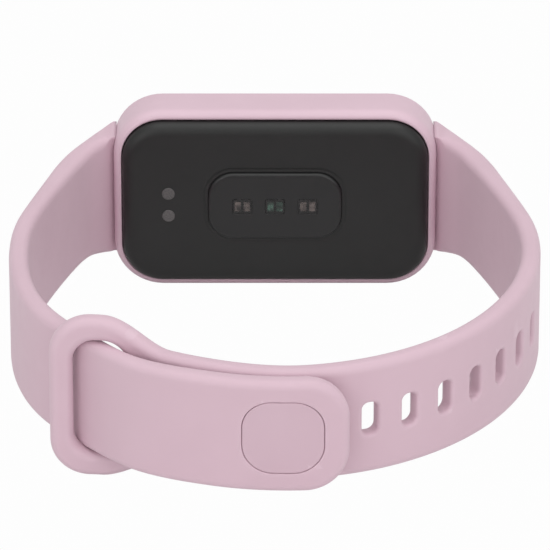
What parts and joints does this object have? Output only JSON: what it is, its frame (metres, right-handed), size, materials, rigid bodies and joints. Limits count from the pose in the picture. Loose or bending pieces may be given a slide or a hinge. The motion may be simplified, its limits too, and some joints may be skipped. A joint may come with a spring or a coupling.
{
  "type": "fitness tracker band",
  "caption": "Wrist fitness tracker with a rigid sensor case and a soft strap closed through a loop and held by a stud.",
  "frame": {"origin": "middle of the bounding box in plan, at the lower long side of the tracker case that the band rests on", "axes": "+X along the tracker's length, +Y from the clasp towards the screen, +Z along the wrist axis"},
  "size_m": [0.0674, 0.0749, 0.0254],
  "materials": {
    "case_pink": "satin, painted pink",
    "cover_black": "satin",
    "window_black": "gloss",
    "optic_clear": "clear, tinted",
    "screen_glass": "gloss, black",
    "seal_rubber": "matt",
    "display_black": "gloss",
    "flex_film": "satin",
    "chassis_plastic": "matt",
    "screw_steel": "plain",
    "board_green": "satin",
    "chip_black": "matt",
    "battery_foil": "satin foil",
    "led_lens": "clear, green",
    "barrier_black": "matt",
    "contact_metal": "dark plated",
    "motor_steel": "plain",
    "rotor_metal": "plain",
    "lug_plastic": "satin",
    "bar_steel": "plain",
    "strap_pink": "matt, soft touch",
    "stud_pink": "satin"
  },
  "bodies": {
    "band": {"tracker_case": "case_pink", "back_cover": "cover_black", "sensor_window": "window_black", "optical_windows": "optic_clear", "front_glass": "screen_glass", "front_seal": "seal_rubber", "back_seal": "seal_rubber", "display_panel": "display_black", "display_flex": "flex_film", "inner_chassis": "chassis_plastic", "chassis_screws": "screw_steel", "main_board": "board_green", "board_chips": "chip_black", "battery": "battery_foil", "sensor_board": "board_green", "green_led": "led_lens", "photodiodes": "chip_black", "light_barrier": "barrier_black", "charge_contacts": "contact_metal", "contact_flex": "flex_film", "motor_case": "motor_steel", "motor_shaft": "motor_steel", "hole_strap": "strap_pink", "stud_strap": "strap_pink", "left_connector": "lug_plastic", "left_bar_tube": "bar_steel", "left_bar_spring": "bar_steel", "right_connector": "lug_plastic", "right_bar_tube": "bar_steel", "right_bar_spring": "bar_steel"},
    "tongue": {"tongue_middle": "strap_pink"},
    "tongue_end": {"tongue_tip": "strap_pink", "stud_cap": "stud_pink", "stud_post": "stud_pink"},
    "rotor": {"motor_rotor": "rotor_metal"},
    "left_tip_upper": {"left_bar_tip_upper": "bar_steel"},
    "left_tip_lower": {"left_bar_tip_lower": "bar_steel"},
    "right_tip_upper": {"right_bar_tip_upper": "bar_steel"},
    "right_tip_lower": {"right_bar_tip_lower": "bar_steel"}
  },
  "joints": [
    {"name": "tongue_peel", "type": "hinge", "parent": "band", "child": "tongue", "pos_m": [-0.01925, -0.02901, 0.0127], "axis": [0, 0, -1], "range_deg": [0, 28], "stiffness_Nm_per_rad": 0.012},
    {"name": "tongue_curl", "type": "hinge", "parent": "tongue", "child": "tongue_end", "pos_m": [-0.00742, -0.03492, 0.0127], "axis": [0, 0, -1], "range_deg": [0, 33.6], "stiffness_Nm_per_rad": 0.002},
    {"name": "motor_spin", "type": "hinge", "parent": "band", "child": "rotor", "pos_m": [0.0125, 0.0326, 0.0166], "axis": [0, 1, 0], "continuous": true},
    {"name": "left_upper_tip_press", "type": "slide", "parent": "band", "child": "left_tip_upper", "axis": [0, 0, -1], "range_m": [0, 0.001], "stiffness_N_per_m": 2},
    {"name": "left_lower_tip_press", "type": "slide", "parent": "band", "child": "left_tip_lower", "axis": [0, 0, 1], "range_m": [0, 0.001], "stiffness_N_per_m": 2},
    {"name": "right_upper_tip_press", "type": "slide", "parent": "band", "child": "right_tip_upper", "axis": [0, 0, -1], "range_m": [0, 0.001], "stiffness_N_per_m": 2},
    {"name": "right_lower_tip_press", "type": "slide", "parent": "band", "child": "right_tip_lower", "axis": [0, 0, 1], "range_m": [0, 0.001], "stiffness_N_per_m": 2}
  ],
  "couplings": [
    {"joint": "tongue_curl", "follows": "tongue_peel", "ratio": 1.2},
    {"joint": "left_lower_tip_press", "follows": "left_upper_tip_press", "ratio": 1},
    {"joint": "right_lower_tip_press", "follows": "right_upper_tip_press", "ratio": 1}
  ]
}
